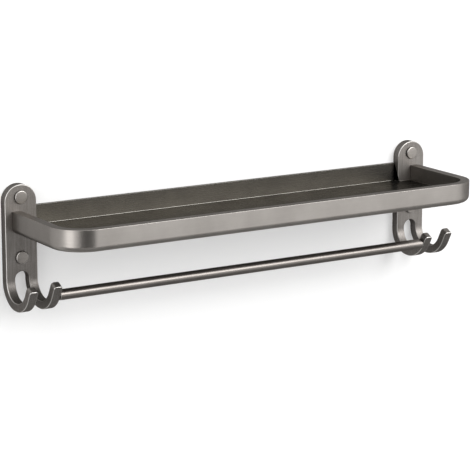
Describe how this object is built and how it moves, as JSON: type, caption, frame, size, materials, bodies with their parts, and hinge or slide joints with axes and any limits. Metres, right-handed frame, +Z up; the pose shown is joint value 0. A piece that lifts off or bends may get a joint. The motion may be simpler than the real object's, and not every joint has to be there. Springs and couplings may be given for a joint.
{
  "type": "wall shelf with towel bar and hooks",
  "caption": "Wall-hung bathroom shelf: a railed tray between slotted wall brackets, with a towel bar below and a double hook at each bracket's foot.",
  "frame": {"origin": "middle of the back panel's wall side, level with the middle of the front rail", "axes": "+X along the shelf to the right as seen from the room, +Y into the wall, +Z up"},
  "size_m": [0.5009, 0.1613, 0.1207],
  "materials": {
    "bracket": "satin gunmetal",
    "rail": "brushed gunmetal",
    "floor": "satin gunmetal",
    "panel": "satin gunmetal",
    "bar": "satin gunmetal",
    "cap": "satin gunmetal",
    "screw": "zinc plated"
  },
  "bodies": {
    "root": {"front_rail": "rail", "tray_floor": "floor", "back_panel": "panel", "towel_bar": "bar", "left_bracket": "bracket", "right_bracket": "bracket", "screw_cap_left_upper": "cap", "screw_cap_left_lower": "cap", "screw_cap_right_upper": "cap", "screw_cap_right_lower": "cap", "wall_screw_left_upper": "screw", "wall_screw_left_lower": "screw", "wall_screw_right_upper": "screw", "wall_screw_right_lower": "screw", "rail_screw_left_upper": "screw", "rail_screw_left_lower": "screw", "rail_screw_right_upper": "screw", "rail_screw_right_lower": "screw", "floor_screw_front_1": "screw", "floor_screw_front_2": "screw", "floor_screw_front_3": "screw", "floor_screw_front_4": "screw", "floor_screw_front_5": "screw", "floor_screw_side_1": "screw", "floor_screw_side_2": "screw", "floor_screw_back_1": "screw", "floor_screw_back_2": "screw", "floor_screw_back_3": "screw", "floor_screw_back_4": "screw"}
  },
  "joints": []
}
